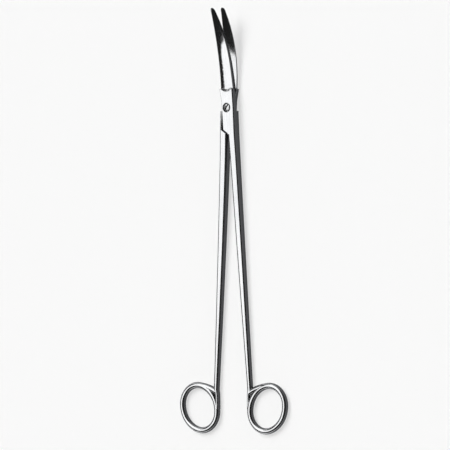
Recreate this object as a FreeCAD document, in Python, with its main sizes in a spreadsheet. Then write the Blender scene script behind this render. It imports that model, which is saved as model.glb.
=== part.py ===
import FreeCAD, Part
import math
import os

from FreeCAD import Placement, Rotation, Vector

# Long curved dissecting scissors, lying on a flat surface with the blades curving up.
# X is across, +Y runs towards the tips and +Z is up. The pivot axis is the Z axis.
# Each half is drawn closed, with its shank parallel to Y, and then turned about the
# pivot by half of the opening. "Across" is the distance from the pivot line, positive on
# the side of the half's own shank, and "below" the distance from the pivot to a point on
# the shank's side of it. Every half is built from the same functions: mirror is 1 for the
# front half and -1 for the rear half, and up is the side of its mating face that it is on.

doc = FreeCAD.newDocument("dissecting_scissors")
sheet = doc.addObject("Spreadsheet::Sheet", "sizes")

drivingSizes = [
    ("openAngle", 7.2, "angle between the shanks at rest, degrees"),
    ("jointThick", 6.4, "both plates of the lap joint together"),
    ("lapGap", 0.12, "running gap between the two mating faces"),
    ("wallSetback", 0.25, "how far a shank wall stays inside the other plate's outer face"),
    ("plateRadius", 13.3, "pivot to the round blade end of a plate"),
    ("lapAcross", 4.0, "lap side of a plate beside the pivot"),
    ("lapTopAcross", 5.0, "lap side of a plate where the blade starts"),
    ("lapFlareStart", 4.5, "pivot to the start of the flare on the lap side"),
    ("lapFlareEnd", 11.5, "pivot to the end of the flare on the lap side"),
    ("lapCornerBelow", 14.5, "pivot to the corner of the lap side"),
    ("lapEndBelow", 17.2, "pivot to the lower end of the lap"),
    ("plateSideTop", 5.85, "shank side of a plate above the pivot"),
    ("wallGap", 0.12, "running gap between a shank wall and the other plate"),
    ("shoulderGap", 0.35, "gap at the slanted shoulder when closed"),
    ("wallStart", 2.6, "pivot to the upper end of the shank wall"),
    ("lapEdgeRound", 0.4, "rounding of a plate's outer edge on its lap side"),
    ("scoopAcross", 0.8, "middle of the scooped step from plate to blade"),
    ("scoopReach", 10.4, "pivot to the lowest point of the scoop's rim"),
    ("scoopRun", 1.7, "length of the step in the middle of the scoop"),
    ("scoopDrop", 1.0, "height of the step in the middle of the scoop"),
    ("scoopHalfWidth", 5.5, "middle of the scoop to its sides"),
    ("scoopSideRise", 3.2, "how much further up its rim is at the sides"),
    ("scoopSideRun", 0.6, "length of the step at the sides of the scoop"),
    ("curveStart", 15.3, "pivot to the start of the blade's curve"),
    ("curveRadius", 111.0, "radius of the blade's curve"),
    ("tipReach", 65.5, "pivot to the tips"),
    ("tipLength", 3.0, "length of the rounded tip"),
    ("tipHalfWidth", 1.85, "half width where the tip starts to round"),
    ("bladeLap", 0.5, "how far the blade's root reaches into the flare of the plate"),
    ("spineAcross", 5.1, "spine side of the blade at its root"),
    ("spineTaper", 2.6, "power by which the spine side narrows"),
    ("edgeAcross", 4.75, "cutting side of the blade beyond its root"),
    ("edgeTaper", 2.8, "power by which the cutting side narrows"),
    ("edgeFlare", 1.0, "extra width of the cutting side at the root"),
    ("flareFade", 6.0, "power by which that extra width fades"),
    ("bladeThick", 2.2, "blade at its root"),
    ("tipThick", 1.2, "blade at its tip"),
    ("crownPull", 1.28, "height that the crown bends towards, as a share of the thickness"),
    ("spineTop", 0.76, "height of the spine, as a share of the thickness"),
    ("bevelTop", 0.74, "top of the ground bevel, as a share of the thickness"),
    ("bevelFoot", 0.25, "foot of the ground bevel, as a share of the thickness"),
    ("bevelWidth", 0.6, "ground bevel beside the cutting edge"),
    ("spineRound", 0.7, "rounding of the spine"),
    ("shankOuterTop", 5.4, "outer side of the shank at the joint"),
    ("shankOuterEnd", 4.15, "outer side of the shank at the ring"),
    ("outerTaper", 0.75, "power by which the outer side runs in"),
    ("shankWidthTop", 5.7, "shank width at the joint"),
    ("shankWidthEnd", 3.7, "shank width at the ring"),
    ("widthTaper", 1.5, "power by which the shank narrows"),
    ("shankThickEnd", 4.0, "shank thickness at the ring"),
    ("thickTaper", 0.6, "power by which the shank thins"),
    ("shankRoundTop", 1.25, "corner radius of the shank at the joint"),
    ("shankRoundEnd", 1.75, "corner radius of the shank at the ring"),
    ("shankEndBelow", 186.0, "pivot to the lower end of the full shank"),
    ("ringAcross", 15.7, "pivot line to the middle of the finger ring"),
    ("ringBelow", 199.0, "pivot to the middle of the finger ring"),
    ("ringShort", 13.7, "short half axis of the ring, to the middle of its bow"),
    ("ringStretch", 1.8, "how much longer its long half axis is"),
    ("ringEndShare", 0.93, "radius of the ring's ends, as a share of its short half axis"),
    ("ringTilt", 41.0, "lean of the ring's long axis away from the shank, degrees"),
    ("bowDiameter", 4.1, "round bow of the ring"),
    ("branchDiameter", 3.9, "branch that runs from the top of the bow into the shank"),
    ("branchAcross", 1.5, "end of the branch inside the shank"),
    ("branchBelow", 187.9, "pivot to the end of the branch inside the shank"),
    ("barWidth", 1.8, "bar that carries the shank's inner side on to the ring"),
    ("barInBow", 0.6, "width of the bar inside the bow, as a share of the bow"),
    ("barThickInBow", 0.9, "thickness of the bar inside the bow, as a share of the bow"),
    ("webAcross", 3.0, "middle of the thin web between bar, branch and bow"),
    ("webBelow", 189.9, "pivot to the middle of the web"),
    ("webRadius", 2.3, "radius of the web"),
    ("webThick", 1.0, "thickness of the web"),
    ("threadDiameter", 3.0, "threaded end of the screw in the rear half"),
    ("neckDiameter", 3.4, "plain neck of the screw, on which the front half turns"),
    ("neckClearance", 0.03, "radial running clearance on the neck"),
    ("headDiameter", 4.8, "screw head"),
    ("recessDiameter", 6.3, "recess around the screw head"),
    ("headThick", 1.5, "screw head at its rim"),
    ("headDome", 0.45, "height of the dome on the head"),
    ("headGap", 0.05, "running gap under the head"),
    ("slotWidth", 1.0, "screwdriver slot"),
    ("slotDepth", 0.7, "screwdriver slot below the head's rim"),
    ("slotAngle", 59.0, "direction of the slot from X, degrees"),
    ("cutMargin", 1.0, "how far a cutting solid runs past what it cuts"),
]

for row, (alias, value, note) in enumerate(drivingSizes, start=1):
    sheet.set("A" + str(row), note)
    sheet.set("B" + str(row), str(value))
    sheet.setAlias("B" + str(row), alias)
doc.recompute()


def size(alias):
    return float(sheet.get(alias))


# Heights and places that follow from the driving sizes.
plateThick = size("jointThick") / 2
matingHeight = plateThick
halfGap = size("lapGap") / 2
wallAcross = size("lapAcross") + size("wallGap")
shoulderBelow = size("lapEndBelow") + size("shoulderGap")
innerAcross = size("shankOuterTop") - size("shankWidthTop")
bladeRoot = size("lapFlareEnd") - size("bladeLap")
tipStart = size("tipReach") - size("tipLength")
farAway = 3 * size("tipReach")

# The finger ring is an oval of four arcs, two round its ends and two along its sides.
ringLong = size("ringShort") + size("ringStretch")
endRadius = size("ringEndShare") * size("ringShort")
endOffset = ringLong - endRadius
sideExtra = (endOffset ** 2 + (size("ringShort") - endRadius) ** 2) / (2 * (size("ringShort") - endRadius))
sideRadius = endRadius + sideExtra
bowHeight = size("bowDiameter") / 2
ringLean = math.radians(size("ringTilt"))
ringSideAcross = size("ringAcross") - endOffset * math.sin(ringLean) - endRadius
ringSideBelow = size("ringBelow") + endOffset * math.cos(ringLean)
ringTopAcross = size("ringAcross") + endOffset * math.sin(ringLean)
ringTopBelow = size("ringBelow") - endOffset * math.cos(ringLean) - endRadius


def sketchOf(name, edges, placement=Placement()):
    sketch = doc.addObject("Sketcher::SketchObject", name)
    sketch.Placement = placement
    sketch.addGeometry(edges, False)
    return sketch


def closedOutline(points, arcs=None):
    # arcs maps the index of an edge's first point to a point on its arc.
    arcs = arcs or {}
    edges = []
    for index, start in enumerate(points):
        end = points[(index + 1) % len(points)]
        if index in arcs:
            edges.append(Part.Arc(start, arcs[index], end))
        else:
            edges.append(Part.LineSegment(start, end))
    return edges


def standingPlane(along, across=0, height=0):
    # A plane across the scissors: sketch x is X, sketch y is Z.
    return Placement(Vector(across, along, height), Rotation(Vector(1, 0, 0), 90))


def extrusionOf(name, sketch, height, fromHeight):
    solid = doc.addObject("Part::Extrusion", name)
    solid.Base = sketch
    solid.Solid = True
    solid.DirMode = "Custom"
    solid.Dir = Vector(0, 0, 1)
    solid.setExpression("LengthFwd", height)
    solid.setExpression("Placement.Base.z", fromHeight)
    return solid


def revolutionOf(name, edges, angle=360):
    # The profile is drawn in the XZ plane: x is the radius, y the height.
    solid = doc.addObject("Part::Revolution", name)
    solid.Source = sketchOf(name + "_profile", edges, standingPlane(0))
    solid.Axis = Vector(0, 0, 1)
    solid.Base = Vector(0, 0, 0)
    solid.Angle = angle
    solid.Solid = True
    return solid


def loftOf(name, sections, ruled):
    solid = doc.addObject("Part::Loft", name)
    solid.Sections = sections
    solid.Solid = True
    solid.Ruled = ruled
    return solid


def tubeOf(name, path, start, heading, diameter):
    # A round bar along a path that leaves the start point with this heading.
    circle = Part.Circle(Vector(), Vector(0, 0, 1), diameter / 2)
    section = sketchOf(name + "_section", [circle], Placement(start, Rotation(Vector(0, 0, 1), heading)))
    solid = doc.addObject("Part::Sweep", name)
    solid.Sections = [section]
    solid.Spine = (path, ["Edge" + str(number + 1) for number in range(len(path.Geometry))])
    solid.Solid = True
    return solid


def cylinderOf(name, radius, fromHeight, height):
    solid = doc.addObject("Part::Cylinder", name)
    solid.setExpression("Radius", radius)
    solid.setExpression("Height", height)
    solid.setExpression("Placement.Base.z", fromHeight)
    return solid


def booleanOf(kind, name, base, tool):
    solid = doc.addObject("Part::" + kind, name)
    solid.Base = base
    solid.Tool = tool
    return solid


def fusionOf(name, solids):
    fused = doc.addObject("Part::MultiFuse", name)
    fused.Shapes = solids
    return fused


def bladeRise(reach):
    # Height that the curved mating face has gained at this distance from the pivot.
    past = max(reach - size("curveStart"), 0)
    return size("curveRadius") - math.sqrt(size("curveRadius") ** 2 - past ** 2)


def matingCutter(name, up):
    # Everything on the other half's side of the mating face, turned about the pivot.
    # The two mating faces are such surfaces, so they stay the same gap apart at any angle.
    height = matingHeight + up * halfGap
    start = size("curveStart")
    far = size("tipReach") + size("cutMargin")
    middle = (start + far) / 2
    beyond = -up * farAway
    points = [
        Vector(0, height, 0),
        Vector(start, height, 0),
        Vector(far, height + bladeRise(far), 0),
        Vector(far, beyond, 0),
        Vector(0, beyond, 0),
    ]
    onCurve = Vector(middle, height + bladeRise(middle), 0)
    return revolutionOf(name, closedOutline(points, {1: onCurve}))


def bladeWidths(reach):
    # Distances from the pivot line to the spine and to the cutting edge.
    share = min(max((reach - bladeRoot) / (tipStart - bladeRoot), 0), 1)
    narrowSpine = (size("spineAcross") - size("tipHalfWidth")) * share ** size("spineTaper")
    narrowEdge = (size("edgeAcross") - size("tipHalfWidth")) * share ** size("edgeTaper")
    flare = size("edgeFlare") * (1 - share) ** size("flareFade")
    rounded = max((reach - tipStart) / size("tipLength"), 0)
    tip = math.sqrt(max(1 - rounded ** 2, 0))
    return (size("spineAcross") - narrowSpine) * tip, (size("edgeAcross") - narrowEdge + flare) * tip


def softCorner(start, corner, end):
    # A smooth curve that leaves start and reaches end along the lines to the corner.
    pull = 0.6
    first = start + (corner - start) * pull
    second = end + (corner - end) * pull
    return Part.BSplineCurve([start, first, second, end], None, None, False, 3, None, False)


def bladeSection(name, reach, mirror, up):
    # Crowned outside, rounded at the spine and bevelled at the edge. It runs past the
    # mating face, to which the blank is cut afterwards.
    spine, edge = bladeWidths(reach)
    share = (reach - bladeRoot) / (size("tipReach") - bladeRoot)
    thick = size("bladeThick") + (size("tipThick") - size("bladeThick")) * share
    bevel = min(size("bevelWidth"), edge / 2)
    spineRound = min(size("spineRound"), spine / 2)
    spineTop = size("spineTop") * thick
    base = matingHeight + bladeRise(reach)

    def at(across, height):
        return Vector(mirror * across, base + up * height, 0)

    points = [
        at(-spine, spineTop - spineRound),
        at(-spine, -size("cutMargin")),
        at(edge, -size("cutMargin")),
        at(edge, size("bevelFoot") * thick),
        at(edge - bevel, size("bevelTop") * thick),
        at(spineRound - spine, spineTop),
    ]
    edges = [Part.LineSegment(first, second) for first, second in zip(points[:4], points[1:5])]
    crown = at((edge - spine) / 2, size("crownPull") * thick)
    edges.append(softCorner(points[4], crown, points[5]))
    edges.append(softCorner(points[5], at(-spine, spineTop), points[0]))
    return sketchOf(name, edges, standingPlane(reach))


def bladeOf(side, mirror, up):
    alongBlade = [0, 0.1, 0.2, 0.35, 0.5, 0.65, 0.8, 0.92]
    alongTip = [0, 0.5, 0.8, 0.95, 0.995]
    reaches = [bladeRoot + share * (tipStart - bladeRoot) for share in alongBlade]
    reaches += [tipStart + share * size("tipLength") for share in alongTip]
    sections = []
    for index, reach in enumerate(reaches):
        sections.append(bladeSection(f"{side}_blade_section_{index}", reach, mirror, up))
    blank = loftOf(side + "_blade_blank", sections, False)
    return booleanOf("Cut", side + "_blade", blank, matingCutter(side + "_blade_mating", up))


def roundedSection(name, along, centre, height, width, thick, corner):
    # A rectangle with rounded corners, standing across the scissors.
    justUnderHalf = 0.48
    corner = min(corner, justUnderHalf * width, justUnderHalf * thick)
    inset = corner * (1 - math.sqrt(0.5))
    edges = []
    for turn in range(4):
        flip = Rotation(Vector(0, 0, 1), 90 * turn)
        wide, tall = (width / 2, thick / 2) if turn % 2 == 0 else (thick / 2, width / 2)
        start = flip.multVec(Vector(wide, tall - corner, 0))
        onCorner = flip.multVec(Vector(wide - inset, tall - inset, 0))
        end = flip.multVec(Vector(wide - corner, tall, 0))
        nextStart = flip.multVec(Vector(corner - wide, tall, 0))
        edges.append(Part.Arc(start, onCorner, end))
        edges.append(Part.LineSegment(end, nextStart))
    return sketchOf(name, edges, standingPlane(along, centre, height))


def between(first, last, share):
    return first + (last - first) * share


def shankSizes(share):
    # Outer side, width, thickness and corner radius.
    top = size("jointThick") - size("wallSetback")
    return (
        between(size("shankOuterTop"), size("shankOuterEnd"), share ** size("outerTaper")),
        between(size("shankWidthTop"), size("shankWidthEnd"), share ** size("widthTaper")),
        between(top, size("shankThickEnd"), share ** size("thickTaper")),
        between(size("shankRoundTop"), size("shankRoundEnd"), share),
    )


def shankOf(side, mirror, up):
    # The tapering shank, and the bar that carries its inner side on to the ring.
    lowest = 0 if up < 0 else size("wallSetback")
    lowestAtRing = bowHeight - size("shankThickEnd") / 2
    length = size("shankEndBelow") - shoulderBelow
    # The first section lies inside the joint block.
    alongShank = [-0.03, 0, 0.08, 0.22, 0.45, 0.72, 1.0]
    sections = []
    for share in alongShank:
        outer, width, thick, corner = shankSizes(max(share, 0))
        height = between(lowest, lowestAtRing, max(share, 0)) + thick / 2
        sections.append(roundedSection(
            f"{side}_shank_section_{len(sections)}", -shoulderBelow - share * length,
            mirror * (outer - width / 2), height, width, thick, corner))
    inner = size("shankOuterEnd") - size("shankWidthEnd")
    ringInner = ringSideAcross - size("barThickInBow") * bowHeight
    # Each section of the bar with its share of the widening. The last lies inside the bow.
    alongBar = [(0.2, 0), (0.5, 0.3), (0.84, 1)]
    for share, widening in alongBar:
        easedShare = share ** 2 * (3 - 2 * share)
        barInner = between(inner, ringInner, easedShare)
        width = between(size("barWidth"), size("barInBow") * size("bowDiameter"), widening)
        thick = between(size("shankThickEnd"), size("barThickInBow") * size("bowDiameter"), share)
        sections.append(roundedSection(
            f"{side}_shank_section_{len(sections)}",
            -between(size("shankEndBelow"), ringSideBelow, share),
            mirror * (barInner + width / 2), bowHeight, width, thick, size("shankRoundEnd")))
    return loftOf(side + "_shank", sections, True)


def ringOf(side, mirror):
    # A round bar bent to an oval that leans away from the shank.
    toEnd = Vector(sideRadius - size("ringShort"), endOffset, 0).normalize()
    joint = toEnd * sideRadius - Vector(sideRadius - size("ringShort"), 0, 0)
    points = [
        Vector(-joint.x, joint.y, 0),
        Vector(joint.x, joint.y, 0),
        Vector(joint.x, -joint.y, 0),
        Vector(-joint.x, -joint.y, 0),
    ]
    onArcs = {
        0: Vector(0, ringLong, 0),
        1: Vector(size("ringShort"), 0, 0),
        2: Vector(0, -ringLong, 0),
        3: Vector(-size("ringShort"), 0, 0),
    }
    middle = Vector(mirror * size("ringAcross"), -size("ringBelow"), bowHeight)
    place = Placement(middle, Rotation(Vector(0, 0, 1), -mirror * size("ringTilt")))
    path = sketchOf(side + "_ring_path", closedOutline(points, onArcs), place)
    heading = place.Rotation.multVec(Vector(toEnd.y, toEnd.x, 0))
    return tubeOf(side + "_ring", path, place.multVec(points[0]), heading, size("bowDiameter"))


def branchOf(side, mirror):
    # From the top of the ring, where it lies inside the bow, into the shank.
    across = ringTopAcross - size("branchAcross")
    drop = size("branchBelow") - ringTopBelow
    radius = (across ** 2 + drop ** 2) / (2 * drop)
    halfway = across / 2
    fall = radius - math.sqrt(radius ** 2 - halfway ** 2)
    start = Vector(mirror * ringTopAcross, -ringTopBelow, bowHeight)
    onArc = Vector(mirror * (ringTopAcross - halfway), -ringTopBelow - fall, bowHeight)
    end = Vector(mirror * size("branchAcross"), -size("branchBelow"), bowHeight)
    level = Placement(Vector(0, 0, bowHeight), Rotation())
    flat = [Vector(point.x, point.y, 0) for point in (start, onArc, end)]
    path = sketchOf(side + "_branch_path", [Part.Arc(*flat)], level)
    return tubeOf(side + "_branch", path, start, Vector(-mirror, 0, 0), size("branchDiameter"))


def webOf(side, mirror):
    web = cylinderOf(side + "_web", "sizes.webRadius", "(sizes.bowDiameter - sizes.webThick) / 2",
                     "sizes.webThick")
    sign = "" if mirror > 0 else "-"
    web.setExpression("Placement.Base.x", sign + "sizes.webAcross")
    web.setExpression("Placement.Base.y", "-sizes.webBelow")
    return web


def jointBlockOf(side, mirror, up):
    # The forged block before its lap is milled, at its full outline and thickness.
    top = size("plateRadius") + size("cutMargin")
    outline = [
        (-size("lapAcross"), -size("lapCornerBelow")),
        (-size("lapAcross"), size("lapFlareStart")),
        (-size("lapTopAcross"), size("lapFlareEnd")),
        (-size("lapTopAcross"), top),
        (size("plateSideTop"), top),
        (size("plateSideTop"), 0),
        (size("shankOuterTop"), -shoulderBelow),
        (innerAcross, -shoulderBelow),
        (innerAcross, -size("lapEndBelow")),
    ]
    points = [Vector(mirror * across, along, 0) for across, along in outline]
    sketch = sketchOf(side + "_joint_outline", closedOutline(points))
    floor = "sizes.wallSetback" if up > 0 else "0"
    block = extrusionOf(side + "_joint_blank", sketch, "sizes.jointThick - sizes.wallSetback", floor)
    doc.recompute()
    rounded = doc.addObject("Part::Fillet", side + "_joint_rounded")
    rounded.Base = block
    rounded.Edges = roundedEdges(block.Shape, mirror, up)
    ended = booleanOf("Cut", side + "_joint_ended", rounded, endCutter(side))
    return booleanOf("Cut", side + "_joint_block", ended, scoopCutter(side, mirror, up))


def roundedEdges(shape, mirror, up):
    # The shank side's long edges get the shank's rounding, and the outer face's edge on
    # the lap side a small one.
    outerHeight = matingHeight + up * plateThick
    flat = 0.01
    found = []
    for number, edge in enumerate(shape.Edges, start=1):
        box = edge.BoundBox
        middle = edge.CenterOfMass
        if box.ZLength > flat or box.YLength < flat:
            continue
        if middle.x * mirror > size("lapAcross"):
            found.append((number, size("shankRoundTop"), size("shankRoundTop")))
        elif abs(middle.z - outerHeight) < flat and middle.y > -size("lapEndBelow"):
            found.append((number, size("lapEdgeRound"), size("lapEdgeRound")))
    return found


def endCutter(side):
    # Rounds the blade end of the plate off about the pivot.
    start = size("plateRadius")
    points = [
        Vector(start, -farAway, 0),
        Vector(farAway, -farAway, 0),
        Vector(farAway, farAway, 0),
        Vector(start, farAway, 0),
    ]
    return revolutionOf(side + "_joint_end", closedOutline(points), 180)


def scoopCutter(side, mirror, up):
    # The step from plate to blade: a scoop with a curved rim, steeper at its sides.
    centre = size("scoopAcross")
    halfWidth = size("scoopHalfWidth")
    far = size("plateRadius") + 2 * halfWidth
    levels = []
    # Drawn through the rim and the foot of the step, and past both by this share of it.
    past = 0.6
    for name, lowered in (("floor", 1 + past), ("top", -past)):
        height = plateThick - lowered * size("scoopDrop")
        low = size("scoopReach") + lowered * size("scoopRun")
        atSide = size("scoopReach") + size("scoopSideRise") + lowered * size("scoopSideRun")
        outline = [
            (centre - halfWidth, atSide),
            (centre + halfWidth, atSide),
            (centre + halfWidth, far),
            (centre - halfWidth, far),
        ]
        points = [Vector(mirror * across, along, 0) for across, along in outline]
        edges = closedOutline(points, {0: Vector(mirror * centre, low, 0)})
        level = Placement(Vector(0, 0, matingHeight + up * height), Rotation())
        levels.append(sketchOf(side + "_scoop_" + name, edges, level))
    return loftOf(side + "_scoop", levels, True)


def lapCutter(side, mirror, up):
    # The milled lap, in which the other half's plate turns.
    slant = size("lapEndBelow") - size("lapCornerBelow")
    outline = [
        (-farAway, -shoulderBelow),
        (innerAcross + size("wallGap"), -shoulderBelow),
        (wallAcross, slant - shoulderBelow),
        (wallAcross, -size("wallStart")),
        (farAway, -size("wallStart")),
        (farAway, farAway),
        (-farAway, farAway),
    ]
    points = [Vector(mirror * across, along, 0) for across, along in outline]
    sketch = sketchOf(side + "_lap_outline", closedOutline(points))
    if up > 0:
        floor = "(sizes.jointThick + sizes.lapGap) / 2 - sizes.jointThick"
    else:
        floor = "(sizes.jointThick - sizes.lapGap) / 2"
    return extrusionOf(side + "_lap", sketch, "sizes.jointThick", floor)


def halfBlank(side, mirror, up):
    block = jointBlockOf(side, mirror, up)
    forged = fusionOf(side + "_forging", [
        block, shankOf(side, mirror, up), ringOf(side, mirror), branchOf(side, mirror), webOf(side, mirror)])
    milled = booleanOf("Cut", side + "_milled", forged, lapCutter(side, mirror, up))
    return booleanOf("Fuse", side + "_bladed", milled, bladeOf(side, mirror, up))


def finishHalf(bladed, bore, label, mirror):
    half = booleanOf("Cut", label, bladed, bore)
    half.Label = label
    sign = "" if mirror > 0 else "-"
    # A turn of nothing would lose its axis, so the angle that is replaced here isn't 0.
    replacedAngle = 1
    half.Placement = Placement(Vector(), Rotation(Vector(0, 0, 1), replacedAngle))
    half.setExpression("Placement.Rotation.Angle", sign + "sizes.openAngle / 2")
    return half


def frontHalf():
    recess = cylinderOf("head_recess", "sizes.recessDiameter / 2",
                        "sizes.jointThick - sizes.headThick - sizes.headGap",
                        "sizes.headThick + sizes.jointThick")
    neckBore = cylinderOf("neck_bore", "sizes.neckDiameter / 2 + sizes.neckClearance",
                          "0", "sizes.jointThick")
    bore = booleanOf("Fuse", "front_bore", recess, neckBore)
    return finishHalf(halfBlank("front", 1, 1), bore, "front_half", 1)


def rearHalf():
    bore = cylinderOf("thread_bore", "sizes.threadDiameter / 2", "-sizes.jointThick",
                      "2 * sizes.jointThick")
    return finishHalf(halfBlank("rear", -1, -1), bore, "rear_half", -1)


def originPlane(body, role):
    return next(plane for plane in body.Origin.OriginFeatures if plane.Role == role)


def pivotScrew():
    # A turned slotted screw: domed head, plain neck and threaded end.
    body = doc.addObject("PartDesign::Body", "pivot_screw")
    body.Label = "pivot_screw"
    profile = body.newObject("Sketcher::SketchObject", "screw_profile")
    profile.AttachmentSupport = [(originPlane(body, "XZ_Plane"), "")]
    profile.MapMode = "FlatFace"
    seat = matingHeight - halfGap
    rim = size("jointThick")
    threadRadius = size("threadDiameter") / 2
    neckRadius = size("neckDiameter") / 2
    headRadius = size("headDiameter") / 2
    points = [
        Vector(0, 0, 0),
        Vector(threadRadius, 0, 0),
        Vector(threadRadius, seat, 0),
        Vector(neckRadius, seat, 0),
        Vector(neckRadius, rim - size("headThick"), 0),
        Vector(headRadius, rim - size("headThick"), 0),
        Vector(headRadius, rim, 0),
        Vector(0, rim + size("headDome"), 0),
    ]
    domeRadius = (headRadius ** 2 + size("headDome") ** 2) / (2 * size("headDome"))
    halfway = headRadius / 2
    domeCentre = rim + size("headDome") - domeRadius
    onDome = Vector(halfway, domeCentre + math.sqrt(domeRadius ** 2 - halfway ** 2), 0)
    profile.addGeometry(closedOutline(points, {6: onDome}), False)
    turned = body.newObject("PartDesign::Revolution", "screw_turned")
    turned.Profile = profile
    turned.ReferenceAxis = (profile, ["V_Axis"])
    turned.Angle = 360
    slot = body.newObject("Sketcher::SketchObject", "slot_outline")
    slot.AttachmentSupport = [(originPlane(body, "XY_Plane"), "")]
    slot.MapMode = "FlatFace"
    slot.setExpression("AttachmentOffset.Base.z", "sizes.jointThick + sizes.headDome + sizes.cutMargin")
    turn = Rotation(Vector(0, 0, 1), size("slotAngle"))
    halfSlot = size("slotWidth") / 2
    reach = size("headDiameter")
    corners = [
        Vector(-reach, -halfSlot, 0),
        Vector(reach, -halfSlot, 0),
        Vector(reach, halfSlot, 0),
        Vector(-reach, halfSlot, 0),
    ]
    slot.addGeometry(closedOutline([turn.multVec(corner) for corner in corners]), False)
    cut = body.newObject("PartDesign::Pocket", "screw_slot")
    cut.Profile = slot
    cut.setExpression("Length", "sizes.slotDepth + sizes.headDome + sizes.cutMargin")
    return body


parts = [frontHalf(), rearHalf(), pivotScrew()]
doc.recompute()

for item in doc.Objects:
    if "Invalid" in item.State or "Error" in item.State:
        raise RuntimeError(item.Label + " failed: " + str(item.State))
for part in parts:
    if part.Shape.isNull() or not part.Shape.isValid() or len(part.Shape.Solids) != 1:
        raise RuntimeError(part.Label + " is not one valid solid")

os.makedirs("parts", exist_ok=True)
for part in parts:
    part.Shape.exportStep("parts/" + part.Label + ".step")
    box = part.Shape.BoundBox
    low = [round(value, 2) for value in (box.XMin, box.YMin, box.ZMin)]
    high = [round(value, 2) for value in (box.XMax, box.YMax, box.ZMax)]
    print(part.Label, round(part.Shape.Volume, 1), low, high)
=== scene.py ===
import math

import bpy
from mathutils import Matrix, Vector

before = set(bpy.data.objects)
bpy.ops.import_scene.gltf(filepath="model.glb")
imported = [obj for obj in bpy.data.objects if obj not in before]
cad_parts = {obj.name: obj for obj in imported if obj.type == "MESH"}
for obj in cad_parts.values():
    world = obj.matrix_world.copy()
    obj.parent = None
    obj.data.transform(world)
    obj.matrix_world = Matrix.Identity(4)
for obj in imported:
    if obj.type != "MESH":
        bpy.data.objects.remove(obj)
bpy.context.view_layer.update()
print("frame loaded:", ", ".join(sorted(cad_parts)))


def addNode(tree, kind, place, **settings):
    node = tree.nodes.new(kind)
    node.location = place
    for key, value in settings.items():
        setattr(node, key, value)
    return node


def feed(tree, source, socket):
    # source is another node's output, a plain value, or nothing
    if source is None:
        return
    if isinstance(source, bpy.types.NodeSocket):
        tree.links.new(source, socket)
    else:
        socket.default_value = source


def mathNode(tree, operation, place, first, second=None, third=None):
    node = addNode(tree, "ShaderNodeMath", place, operation=operation)
    for index, source in enumerate((first, second, third)):
        feed(tree, source, node.inputs[index])
    return node.outputs[0]


def vectorNode(tree, operation, place, first, second=None):
    node = addNode(tree, "ShaderNodeVectorMath", place, operation=operation)
    feed(tree, first, node.inputs[0])
    feed(tree, second, node.inputs[1])
    return node.outputs["Value"] if operation in ("DOT_PRODUCT", "LENGTH") else node.outputs["Vector"]


def rangeNode(tree, place, value, fromLow, fromHigh, toLow=0.0, toHigh=1.0):
    node = addNode(tree, "ShaderNodeMapRange", place, interpolation_type="SMOOTHSTEP")
    for index, source in enumerate((value, fromLow, fromHigh, toLow, toHigh)):
        feed(tree, source, node.inputs[index])
    return node.outputs["Result"]


def mixColor(tree, place, share, first, second):
    # The Mix node has sockets of the same names for each kind of data: 6, 7 and 2 are the colours.
    node = addNode(tree, "ShaderNodeMix", place, data_type="RGBA")
    feed(tree, share, node.inputs["Factor"])
    feed(tree, first, node.inputs[6])
    feed(tree, second, node.inputs[7])
    return node.outputs[2]


def mixVector(tree, place, share, first, second):
    # And 4, 5 and 1 are the vectors.
    node = addNode(tree, "ShaderNodeMix", place, data_type="VECTOR")
    feed(tree, share, node.inputs["Factor"])
    feed(tree, first, node.inputs[4])
    feed(tree, second, node.inputs[5])
    return node.outputs[1]


def newGroup(name, inputs, outputs):
    group = bpy.data.node_groups.new(name, "ShaderNodeTree")
    for label, kind, value in inputs:
        socket = group.interface.new_socket(label, in_out="INPUT", socket_type=kind)
        if value is not None:
            socket.default_value = value
    for label, kind in outputs:
        group.interface.new_socket(label, in_out="OUTPUT", socket_type=kind)
    source = addNode(group, "NodeGroupInput", (-1200, 0))
    target = addNode(group, "NodeGroupOutput", (900, 0))
    return group, source.outputs, target.inputs


def placeGroup(tree, group, place, **values):
    node = addNode(tree, "ShaderNodeGroup", place, node_tree=group)
    for label, value in values.items():
        feed(tree, value, node.inputs[label])
    return node


noiseLow, noiseHigh = 0.3, 0.7    # most of a noise texture's values lie between these


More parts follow.
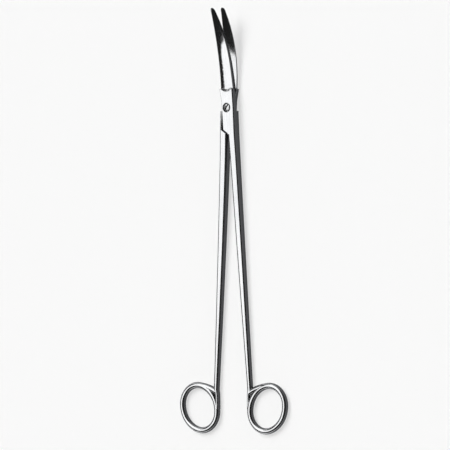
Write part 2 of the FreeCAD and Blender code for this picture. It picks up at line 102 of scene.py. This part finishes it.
def makeGrainFrame():
    # Coordinates that run along the shank, and round the bow at the finger ring.
    group, source, target = newGroup(
        "grainFrame",
        [("Turn", "NodeSocketFloat", 0.0), ("RingAcross", "NodeSocketFloat", 0.0),
         ("RingBelow", "NodeSocketFloat", 0.2), ("RingLean", "NodeSocketFloat", 0.0),
         ("RingStretch", "NodeSocketFloat", 1.0), ("RingRadius", "NodeSocketFloat", 0.015),
         ("BlendTop", "NodeSocketFloat", 0.0), ("BlendEnd", "NodeSocketFloat", 0.0)],
        [("Vector", "NodeSocketVector")])
    coordinates = addNode(group, "ShaderNodeTexCoord", (-1200, 300)).outputs["Object"]
    straight = addNode(group, "ShaderNodeVectorRotate", (-1000, 300), rotation_type="Z_AXIS")
    feed(group, coordinates, straight.inputs["Vector"])
    feed(group, source["Turn"], straight.inputs["Angle"])
    along = straight.outputs["Vector"]

    middle = addNode(group, "ShaderNodeCombineXYZ", (-1000, 0))
    feed(group, source["RingAcross"], middle.inputs["X"])
    feed(group, mathNode(group, "MULTIPLY", (-1100, -150), source["RingBelow"], -1.0), middle.inputs["Y"])
    fromRing = vectorNode(group, "SUBTRACT", (-800, 100), along, middle.outputs["Vector"])
    leaned = addNode(group, "ShaderNodeVectorRotate", (-640, 100), rotation_type="Z_AXIS")
    feed(group, fromRing, leaned.inputs["Vector"])
    feed(group, source["RingLean"], leaned.inputs["Angle"])
    oval = addNode(group, "ShaderNodeSeparateXYZ", (-480, 100))
    feed(group, leaned.outputs["Vector"], oval.inputs["Vector"])
    wide = mathNode(group, "DIVIDE", (-320, 200), oval.outputs["X"], source["RingStretch"])
    squares = mathNode(group, "ADD", (0, 100),
                       mathNode(group, "MULTIPLY", (-160, 200), wide, wide),
                       mathNode(group, "MULTIPLY", (-160, 50), oval.outputs["Y"], oval.outputs["Y"]))
    angle = mathNode(group, "ARCTAN2", (-160, -100), wide, oval.outputs["Y"])
    ringVector = addNode(group, "ShaderNodeCombineXYZ", (300, 0))
    feed(group, mathNode(group, "SQRT", (140, 100), squares), ringVector.inputs["X"])
    feed(group, mathNode(group, "MULTIPLY", (0, -100), angle, source["RingRadius"]), ringVector.inputs["Y"])
    feed(group, oval.outputs["Z"], ringVector.inputs["Z"])

    height = addNode(group, "ShaderNodeSeparateXYZ", (-480, 450))
    feed(group, along, height.inputs["Vector"])
    share = rangeNode(group, (-300, 450), height.outputs["Y"], source["BlendEnd"], source["BlendTop"])
    feed(group, mixVector(group, (560, 100), share, ringVector.outputs["Vector"], along), target["Vector"])
    return group


def makePolishLines():
    # Fine lines left by the polishing wheel, long in Y and narrow across it.
    group, source, target = newGroup(
        "polishLines",
        [("Vector", "NodeSocketVector", None), ("Width", "NodeSocketFloat", 0.0004),
         ("Length", "NodeSocketFloat", 0.03)],
        [("Fine", "NodeSocketFloat"), ("Broad", "NodeSocketFloat")])
    scaled = addNode(group, "ShaderNodeCombineXYZ", (-1000, -200))
    perWidth = mathNode(group, "DIVIDE", (-1150, -200), 1.0, source["Width"])
    perLength = mathNode(group, "DIVIDE", (-1150, -350), 1.0, source["Length"])
    feed(group, perWidth, scaled.inputs["X"])
    feed(group, perLength, scaled.inputs["Y"])
    feed(group, perWidth, scaled.inputs["Z"])
    stretched = vectorNode(group, "MULTIPLY", (-800, 0), source["Vector"], scaled.outputs["Vector"])
    kinds = [("Fine", 1.0, 3.0, 0.65), ("Broad", 0.22, 2.0, 0.5)]    # scale, detail and roughness of each
    for index, (label, scale, detail, roughness) in enumerate(kinds):
        row = 150 - 300 * index
        noise = addNode(group, "ShaderNodeTexNoise", (-500, row), noise_dimensions="3D")
        feed(group, stretched, noise.inputs["Vector"])
        feed(group, scale, noise.inputs["Scale"])
        feed(group, detail, noise.inputs["Detail"])
        feed(group, roughness, noise.inputs["Roughness"])
        feed(group, rangeNode(group, (-200, row), noise.outputs["Fac"], noiseLow, noiseHigh), target[label])
    return group


def makeHairScratches():
    # Sparse hair scratches in two directions, and faint cloudy marks from handling.
    group, source, target = newGroup(
        "hairScratches",
        [("Vector", "NodeSocketVector", None), ("Amount", "NodeSocketFloat", 0.5)],
        [("Scratches", "NodeSocketFloat"), ("Smudges", "NodeSocketFloat")])
    lineWidth = 0.035                        # as a share of the cell between two scratches
    patchLow, patchHigh = 0.5, 0.66          # only where the patches are this strong
    directions = [
        {"turn": 0.5, "across": 900, "along": 45, "patches": 140.0},
        {"turn": -0.32, "across": 1300, "along": 70, "patches": 190.0},
    ]
    lines = []
    for index, each in enumerate(directions):
        row = 200 - 300 * index
        turned = addNode(group, "ShaderNodeVectorRotate", (-1000, row), rotation_type="Z_AXIS")
        feed(group, source["Vector"], turned.inputs["Vector"])
        feed(group, each["turn"], turned.inputs["Angle"])
        stretched = vectorNode(group, "MULTIPLY", (-820, row), turned.outputs["Vector"],
                               (each["across"], each["along"], each["across"]))
        cells = addNode(group, "ShaderNodeTexVoronoi", (-640, row), feature="DISTANCE_TO_EDGE")
        feed(group, stretched, cells.inputs["Vector"])
        feed(group, 1.0, cells.inputs["Scale"])
        thin = rangeNode(group, (-440, row), cells.outputs["Distance"], 0.0, lineWidth, 1.0, 0.0)
        patches = addNode(group, "ShaderNodeTexNoise", (-640, row - 200))
        feed(group, source["Vector"], patches.inputs["Vector"])
        feed(group, each["patches"], patches.inputs["Scale"])
        sparse = rangeNode(group, (-440, row - 200), patches.outputs["Fac"], patchLow, patchHigh)
        lines.append(mathNode(group, "MULTIPLY", (-240, row - 100), thin, sparse))
    both = mathNode(group, "MAXIMUM", (0, 0), lines[0], lines[1])
    feed(group, mathNode(group, "MULTIPLY", (160, 0), both, source["Amount"]), target["Scratches"])
    smudgeScale, smudgeLow, smudgeHigh = 55.0, 0.42, 0.68
    cloud = addNode(group, "ShaderNodeTexNoise", (-240, -600))
    feed(group, source["Vector"], cloud.inputs["Vector"])
    feed(group, smudgeScale, cloud.inputs["Scale"])
    feed(group, 4.0, cloud.inputs["Detail"])
    feed(group, 0.6, cloud.inputs["Roughness"])
    feed(group, rangeNode(group, (0, -600), cloud.outputs["Fac"], smudgeLow, smudgeHigh), target["Smudges"])
    return group


def makeTurnedRings():
    # Concentric lines left by turning, about the pivot axis.
    group, source, target = newGroup(
        "turnedRings",
        [("Spacing", "NodeSocketFloat", 0.0003)],
        [("Rings", "NodeSocketFloat")])
    coordinates = addNode(group, "ShaderNodeTexCoord", (-1200, 200)).outputs["Object"]
    flat = vectorNode(group, "MULTIPLY", (-1000, 200), coordinates, (1, 1, 0))
    radius = vectorNode(group, "LENGTH", (-820, 200), flat)
    steps = mathNode(group, "DIVIDE", (-640, 200), radius, source["Spacing"])
    uneven = addNode(group, "ShaderNodeTexNoise", (-460, 200), noise_dimensions="1D")
    feed(group, steps, uneven.inputs["W"])
    feed(group, 1.0, uneven.inputs["Scale"])
    feed(group, 2.0, uneven.inputs["Detail"])
    feed(group, rangeNode(group, (-200, 200), uneven.outputs["Fac"], noiseLow, noiseHigh), target["Rings"])
    return group


def makeEdgesAndCorners():
    # A softened normal at sharp edges, a mask of those edges, and a mask of tight corners.
    group, source, target = newGroup(
        "edgesAndCorners",
        [("EdgeRadius", "NodeSocketFloat", 0.0002), ("CornerReach", "NodeSocketFloat", 0.0015),
         ("CornerStart", "NodeSocketFloat", 0.85), ("CornerFull", "NodeSocketFloat", 0.3)],
        [("Normal", "NodeSocketVector"), ("Edges", "NodeSocketFloat"), ("Corners", "NodeSocketFloat")])
    sharpest, flattest = 0.8, 0.99           # how alike the soft and the flat normal are
    soft = addNode(group, "ShaderNodeBevel", (-900, 200), samples=6)
    feed(group, source["EdgeRadius"], soft.inputs["Radius"])
    flat = addNode(group, "ShaderNodeNewGeometry", (-900, 0)).outputs["Normal"]
    alike = vectorNode(group, "DOT_PRODUCT", (-700, 100), soft.outputs["Normal"], flat)
    feed(group, soft.outputs["Normal"], target["Normal"])
    feed(group, rangeNode(group, (-500, 100), alike, sharpest, flattest, 1.0, 0.0), target["Edges"])
    openness = addNode(group, "ShaderNodeAmbientOcclusion", (-900, -250), samples=8, only_local=True)
    feed(group, source["CornerReach"], openness.inputs["Distance"])
    corners = rangeNode(group, (-500, -250), openness.outputs["AO"], source["CornerFull"],
                        source["CornerStart"], 1.0, 0.0)
    feed(group, corners, target["Corners"])
    return group


grainFrame = makeGrainFrame()
polishLines = makePolishLines()
hairScratches = makeHairScratches()
turnedRings = makeTurnedRings()
edgesAndCorners = makeEdgesAndCorners()
print("shared effects made")


def newMetal(name, settings):
    material = bpy.data.materials.new(name)
    material.use_nodes = True
    tree = material.node_tree
    tree.nodes.clear()
    output = addNode(tree, "ShaderNodeOutputMaterial", (1300, 0))
    shader = addNode(tree, "ShaderNodeBsdfPrincipled", (1000, 0))
    feed(tree, 1.0, shader.inputs["Metallic"])
    feed(tree, settings["edgeTint"], shader.inputs["Specular Tint"])
    tree.links.new(shader.outputs["BSDF"], output.inputs["Surface"])
    return material, tree, shader


def addEdgeWearAndCornerShade(tree, shader, settings, edges, color, rough, relief):
    # Brighter worn edges, painted shade that darkens the tight corners, and fine relief under the soft
    # edges.
    wear = mathNode(tree, "MULTIPLY", (0, 50), edges.outputs["Edges"], settings["edgeWear"])
    worn = mixColor(tree, (200, 250), wear, color, settings["brightColor"])
    # Painted shade: corners found by occlusion are darkened towards a near-black colour.
    feed(tree, mixColor(tree, (400, 250), edges.outputs["Corners"], worn, settings["paintedCornerShadeColor"]),
         shader.inputs["Base Color"])
    feed(tree, mathNode(tree, "MULTIPLY_ADD", (400, -150), edges.outputs["Corners"],
                        settings["cornerRoughness"], rough),
         shader.inputs["Roughness"])
    bump = addNode(tree, "ShaderNodeBump", (600, -400))
    feed(tree, settings["reliefStrength"], bump.inputs["Strength"])
    feed(tree, settings["reliefDepth"], bump.inputs["Distance"])
    feed(tree, relief, bump.inputs["Height"])
    feed(tree, edges.outputs["Normal"], bump.inputs["Normal"])
    feed(tree, bump.outputs["Normal"], shader.inputs["Normal"])


# Where the polish follows the work: each half's turn about the pivot and its finger ring.
grainLayout = {
    "halfTurn": 3.6,         # degrees that each half is turned from closed
    "ringAcross": 0.0157,    # pivot line to the middle of the ring
    "ringBelow": 0.199,      # pivot to the middle of the ring
    "ringRadius": 0.015,     # mean radius of the bow
    "ringStretch": 0.884,    # short axis of the ring over its long axis
    "ringLean": 41.0,        # lean of the long axis, degrees
    "blendTop": -0.178,      # the lines start to follow the ring here
    "blendEnd": -0.19,       # and follow it fully from here
}

instrumentSteel = {
    "brightColor": (0.72, 0.725, 0.735, 1),
    "dullColor": (0.61, 0.617, 0.63, 1),
    # Painted shade: faces that stand steeply are darkened to this near-black colour.
    "paintedSideShadeColor": (0.08, 0.081, 0.085, 1),
    # Painted shade: tight corners are darkened to this near-black colour.
    "paintedCornerShadeColor": (0.045, 0.04, 0.036, 1),
    "edgeTint": (0.62, 0.63, 0.65, 1),
    "roughness": 0.09,
    "streakRoughness": 0.06,
    "sideRoughness": 0.08,
    "scratchRoughness": 0.15,
    "cornerRoughness": 0.3,
    "paintedSideShadeStart": 0.82,       # how level a surface is where the painted shade on steep faces begins
    "paintedSideShadeFull": 0.5,         # and where that painted shade is darkest
    "streakWidth": 0.00035,
    "streakLength": 0.030,
    "smudgeShare": 0.6,
    "scratchAmount": 0.5,
    "reliefDepth": 0.0000006,
    "reliefStrength": 0.6,
    "edgeRadius": 0.00018,
    "edgeWear": 0.5,
    "cornerShadeReach": 0.0024,
    "cornerShadeStart": 0.85,    # how open a corner is where painted shade begins
    "cornerShadeFull": 0.3,      # and where that painted shade is darkest
}


def makeInstrumentSteel(name, side, settings, layout):
    # side is 1 for the half with its ring towards +X and -1 for the other
    material, tree, shader = newMetal(name, settings)
    grain = placeGroup(tree, grainFrame, (-900, 0),
                       Turn=-side * math.radians(layout["halfTurn"]),
                       RingAcross=side * layout["ringAcross"],
                       RingBelow=layout["ringBelow"],
                       RingLean=side * math.radians(layout["ringLean"]),
                       RingStretch=layout["ringStretch"],
                       RingRadius=layout["ringRadius"],
                       BlendTop=layout["blendTop"],
                       BlendEnd=layout["blendEnd"]).outputs["Vector"]
    lines = placeGroup(tree, polishLines, (-600, 200), Vector=grain,
                       Width=settings["streakWidth"], Length=settings["streakLength"])
    marks = placeGroup(tree, hairScratches, (-600, -100), Vector=grain, Amount=settings["scratchAmount"])
    edges = placeGroup(tree, edgesAndCorners, (-600, -400), EdgeRadius=settings["edgeRadius"],
                       CornerReach=settings["cornerShadeReach"], CornerStart=settings["cornerShadeStart"],
                       CornerFull=settings["cornerShadeFull"])

    streaks = mathNode(tree, "MULTIPLY", (-350, 250), lines.outputs["Broad"], lines.outputs["Fine"])
    smudges = mathNode(tree, "MULTIPLY", (-350, 50), marks.outputs["Smudges"], settings["smudgeShare"])
    dulled = mathNode(tree, "MAXIMUM", (-200, 150), streaks, smudges)
    # Painted shade: faces that stand steeply are darkened towards a near-black colour, whatever the light.
    facing = addNode(tree, "ShaderNodeSeparateXYZ", (-900, 400))
    feed(tree, addNode(tree, "ShaderNodeTexCoord", (-1100, 400)).outputs["Normal"], facing.inputs["Vector"])
    level = mathNode(tree, "ABSOLUTE", (-700, 400), facing.outputs["Z"])
    paintedSideShade = rangeNode(tree, (-500, 450), level, settings["paintedSideShadeFull"], settings["paintedSideShadeStart"], 1.0, 0.0)
    polished = mixColor(tree, (-100, 300), dulled, settings["brightColor"], settings["dullColor"])
    color = mixColor(tree, (50, 300), paintedSideShade, polished, settings["paintedSideShadeColor"])

    rough = mathNode(tree, "MULTIPLY_ADD", (0, -150), dulled,
                     settings["streakRoughness"], settings["roughness"])
    satin = mathNode(tree, "MULTIPLY_ADD", (100, -250), paintedSideShade, settings["sideRoughness"], rough)
    rougher = mathNode(tree, "MULTIPLY_ADD", (200, -150), marks.outputs["Scratches"],
                       settings["scratchRoughness"], satin)
    relief = mathNode(tree, "SUBTRACT", (200, -400), lines.outputs["Fine"], marks.outputs["Scratches"])
    addEdgeWearAndCornerShade(tree, shader, settings, edges, color, rougher, relief)
    return material


screwSteel = {
    "brightColor": (0.72, 0.725, 0.73, 1),
    "dullColor": (0.6, 0.606, 0.61, 1),
    # Painted shade: the slot and the corners of the head are darkened to this near-black colour.
    "paintedCornerShadeColor": (0.05, 0.045, 0.04, 1),
    "edgeTint": (0.6, 0.6, 0.62, 1),
    "roughness": 0.2,
    "ringRoughness": 0.14,
    "cornerRoughness": 0.3,
    "ringSpacing": 0.00022,
    "scratchAmount": 0.7,
    "reliefDepth": 0.000002,
    "reliefStrength": 0.6,
    "edgeRadius": 0.00012,
    "edgeWear": 0.6,
    "cornerShadeReach": 0.0016,
    "cornerShadeStart": 0.98,    # how open a corner is where painted shade begins
    "cornerShadeFull": 0.5,      # and where that painted shade is darkest
}


def makeScrewSteel(name, settings):
    material, tree, shader = newMetal(name, settings)
    rings = placeGroup(tree, turnedRings, (-600, 200), Spacing=settings["ringSpacing"]).outputs["Rings"]
    coordinates = addNode(tree, "ShaderNodeTexCoord", (-900, -100)).outputs["Object"]
    marks = placeGroup(tree, hairScratches, (-600, -100), Vector=coordinates,
                       Amount=settings["scratchAmount"])
    edges = placeGroup(tree, edgesAndCorners, (-600, -400), EdgeRadius=settings["edgeRadius"],
                       CornerReach=settings["cornerShadeReach"], CornerStart=settings["cornerShadeStart"],
                       CornerFull=settings["cornerShadeFull"])
    color = mixColor(tree, (0, 250), rings, settings["brightColor"], settings["dullColor"])
    rough = mathNode(tree, "MULTIPLY_ADD", (0, -150), rings,
                     settings["ringRoughness"], settings["roughness"])
    relief = mathNode(tree, "SUBTRACT", (200, -400), rings, marks.outputs["Scratches"])
    addEdgeWearAndCornerShade(tree, shader, settings, edges, color, rough, relief)
    return material


def dress(node, material):
    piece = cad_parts[node]
    piece.data.materials.clear()
    piece.data.materials.append(material)


dress("front_half", makeInstrumentSteel("frontSteel", 1, instrumentSteel, grainLayout))
dress("rear_half", makeInstrumentSteel("rearSteel", -1, instrumentSteel, grainLayout))
dress("pivot_screw", makeScrewSteel("turnedScrewSteel", screwSteel))
print("steel dressed")


paleFloor = {
    "color": (0.95, 0.95, 0.945, 1),
    "mottle": 0.012,         # how much darker its darkest spots are
    "mottleScale": 220.0,
    "roughness": 0.9,
    "glow": 0.58,            # share of plain white that the camera and the steel see in it
    "flatRadius": 7.0,       # metres from the pivot to the end of its flat part
    "edgeRadius": 9.5,
    "edgeRise": 1.2,
    "segments": 96,
    "rows": 12,
}


def makeFloor(settings):
    # A wide pale sweep: flat around the object and rising at its far edge.
    segments = settings["segments"]
    rows = [(settings["flatRadius"], 0.0)]
    for step in range(1, settings["rows"] + 1):
        share = step / settings["rows"]
        rows.append((settings["flatRadius"] + share * (settings["edgeRadius"] - settings["flatRadius"]),
                     settings["edgeRise"] * share ** 2))
    points = [(0, 0, 0)]
    faces = []
    for radius, height in rows:
        for index in range(segments):
            angle = 2 * math.pi * index / segments
            points.append((radius * math.cos(angle), radius * math.sin(angle), height))
    for index in range(segments):
        after = (index + 1) % segments
        faces.append((0, 1 + index, 1 + after))
        for row in range(len(rows) - 1):
            inner, outer = 1 + row * segments, 1 + (row + 1) * segments
            faces.append((inner + index, outer + index, outer + after, inner + after))
    mesh = bpy.data.meshes.new("paleFloor")
    mesh.from_pydata(points, [], faces)
    mesh.shade_smooth()
    mesh.materials.append(makePaper(settings))
    floor = bpy.data.objects.new("paleFloor", mesh)
    bpy.context.scene.collection.objects.link(floor)


def makePaper(settings):
    # Matt pale paper. The camera and the steel see part of it as plain white.
    material = bpy.data.materials.new("palePaper")
    material.use_nodes = True
    tree = material.node_tree
    shader = tree.nodes["Principled BSDF"]
    mottle = addNode(tree, "ShaderNodeTexNoise", (-700, 0))
    feed(tree, addNode(tree, "ShaderNodeTexCoord", (-900, 0)).outputs["Object"], mottle.inputs["Vector"])
    feed(tree, settings["mottleScale"], mottle.inputs["Scale"])
    darker = tuple(part - settings["mottle"] for part in settings["color"][:3]) + (1,)
    feed(tree, mixColor(tree, (-400, 0), mottle.outputs["Fac"], darker, settings["color"]),
         shader.inputs["Base Color"])
    feed(tree, settings["roughness"], shader.inputs["Roughness"])
    feed(tree, 0.0, shader.inputs["Specular IOR Level"])
    rays = addNode(tree, "ShaderNodeLightPath", (-400, -500)).outputs
    direct = mathNode(tree, "MAXIMUM", (-200, -450), rays["Is Camera Ray"], rays["Is Glossy Ray"])
    seen = mathNode(tree, "MAXIMUM", (-40, -450), direct, rays["Is Transmission Ray"])
    glow = addNode(tree, "ShaderNodeEmission", (120, -300))
    feed(tree, (1, 1, 1, 1), glow.inputs["Color"])
    feed(tree, 1.0, glow.inputs["Strength"])
    blend = addNode(tree, "ShaderNodeMixShader", (320, 0))
    feed(tree, mathNode(tree, "MULTIPLY", (120, -450), seen, settings["glow"]), blend.inputs["Fac"])
    tree.links.new(shader.outputs["BSDF"], blend.inputs[1])
    tree.links.new(glow.outputs["Emission"], blend.inputs[2])
    output = tree.nodes["Material Output"]
    output.location = (520, 0)
    tree.links.new(blend.outputs["Shader"], output.inputs["Surface"])
    return material


makeFloor(paleFloor)
print("floor laid")


studioLight = {
    "left": -45,             # the window of light, in degrees off the vertical along X
    "right": -3,
    "near": -20.5,           # and along Y, the tips' way being positive
    "far": 50,
    "corner": 9,             # rounding of its corners
    "slant": -0.2,           # how much further along it lies for each degree to the right
    "rimSoftness": 1.5,      # degrees over which its rim fades
    "nearLevel": 1.38,       # level of its near part, and the most that the steel mirrors
    "farLevel": 7.5,         # level of its far part, which lights the floor
    "levelStart": 8,         # degrees along Y where the near part ends
    "levelEnd": 20,          # and where the far part begins
    "lowLevel": 0.8,         # a low band of light near the horizon, all round but on the left
    "lowTop": 0.4,           # height at which it ends, as a share of straight up
    "lowLeft": -0.8,         # and how far to the left
    "lowFade": 0.12,
    "fillLevel": 0.015,
}


def makeLight(settings):
    # A broad window of light above, to the left and beyond the tips, in an otherwise dark studio.
    world = bpy.data.worlds.new("studioLight")
    bpy.context.scene.world = world
    world.use_nodes = True
    tree = world.node_tree
    parts = addNode(tree, "ShaderNodeSeparateXYZ", (-1300, 0))
    feed(tree, addNode(tree, "ShaderNodeTexCoord", (-1500, 0)).outputs["Generated"], parts.inputs["Vector"])
    turned = mathNode(tree, "ARCTAN2", (-1100, 100), parts.outputs["X"], parts.outputs["Z"])
    tipped = mathNode(tree, "ARCSINE", (-1100, -100), parts.outputs["Y"])
    across = mathNode(tree, "DEGREES", (-900, 100), turned)
    along = mathNode(tree, "DEGREES", (-900, -100), tipped)
    middle = (settings["left"] + settings["right"]) / 2
    slant = settings["slant"]
    slanted = mathNode(tree, "ADD", (-760, -250), along,
                       mathNode(tree, "MULTIPLY_ADD", (-900, -250), across, -slant, slant * middle))
    squares = []
    spans = [(across, settings["left"], settings["right"]), (slanted, settings["near"], settings["far"])]
    for index, (value, low, high) in enumerate(spans):
        row = 100 - 200 * index
        fromMiddle = mathNode(tree, "SUBTRACT", (-720, row), value, (low + high) / 2)
        beyond = mathNode(tree, "SUBTRACT", (-420, row), mathNode(tree, "ABSOLUTE", (-570, row), fromMiddle),
                          (high - low) / 2 - settings["corner"])
        outside = mathNode(tree, "MAXIMUM", (-270, row), beyond, 0.0)
        squares.append(mathNode(tree, "MULTIPLY", (-120, row), outside, outside))
    distance = mathNode(tree, "SQRT", (180, 0), mathNode(tree, "ADD", (30, 0), squares[0], squares[1]))
    half = settings["rimSoftness"] / 2
    inside = rangeNode(tree, (330, 0), distance, settings["corner"] - half,
                       settings["corner"] + half, 1.0, 0.0)
    spread = rangeNode(tree, (330, 250), along, settings["levelStart"], settings["levelEnd"],
                       settings["nearLevel"], settings["farLevel"])
    mirrored = addNode(tree, "ShaderNodeLightPath", (150, 500)).outputs["Is Glossy Ray"]
    most = mathNode(tree, "MULTIPLY_ADD", (330, 450), mirrored,
                    settings["nearLevel"] - settings["farLevel"], settings["farLevel"])
    bright = mathNode(tree, "MINIMUM", (500, 350), spread, most)    # steel mirrors no more than nearLevel
    under = rangeNode(tree, (330, -250), parts.outputs["Z"], settings["lowTop"] - settings["lowFade"],
                      settings["lowTop"], settings["lowLevel"], 0.0)
    besides = rangeNode(tree, (330, -500), parts.outputs["X"], settings["lowLeft"],
                        settings["lowLeft"] + settings["lowFade"])
    low = mathNode(tree, "MULTIPLY_ADD", (500, -250), under, besides, settings["fillLevel"])
    level = mathNode(tree, "MAXIMUM", (660, 0), mathNode(tree, "MULTIPLY", (500, 0), inside, bright), low)
    background = tree.nodes["Background"]
    background.location = (840, 0)
    tree.nodes["World Output"].location = (1020, 0)
    feed(tree, level, background.inputs["Strength"])
    feed(tree, (1, 1, 1, 1), background.inputs["Color"])


makeLight(studioLight)
print("light set")


view = {
    "lean": 38.0,            # degrees off the vertical, towards +X
    "roll": 0.62,            # degrees that the object is turned anticlockwise in the picture
    "frameWidth": 0.29605,   # metres across the picture at the object
    "middle": (-0.00487, -0.0772),   # middle of the picture from the pivot, across and up
    "distance": 3.6,
    "sensorWidth": 36,
    "clipStart": 0.1,
    "clipEnd": 30,
}


def makeCamera(settings):
    lean = math.radians(settings["lean"])
    roll = math.radians(settings["roll"])
    towards = Vector((math.sin(lean), 0, math.cos(lean)))
    level = Vector((math.cos(lean), 0, -math.sin(lean)))
    upright = Vector((0, 1, 0))
    right = level * math.cos(roll) - upright * math.sin(roll)
    up = upright * math.cos(roll) + level * math.sin(roll)
    across, along = settings["middle"]
    data = bpy.data.cameras.new("longLens")
    data.sensor_width = settings["sensorWidth"]
    data.lens = settings["sensorWidth"] * settings["distance"] / settings["frameWidth"]
    data.clip_start, data.clip_end = settings["clipStart"], settings["clipEnd"]
    camera = bpy.data.objects.new("longLens", data)
    bpy.context.scene.collection.objects.link(camera)
    placed = Matrix((right, up, towards)).transposed().to_4x4()
    placed.translation = right * across + up * along + towards * settings["distance"]
    camera.matrix_world = placed
    bpy.context.scene.camera = camera


makeCamera(view)
bpy.context.scene.view_settings.view_transform = "Standard"
print("camera placed")
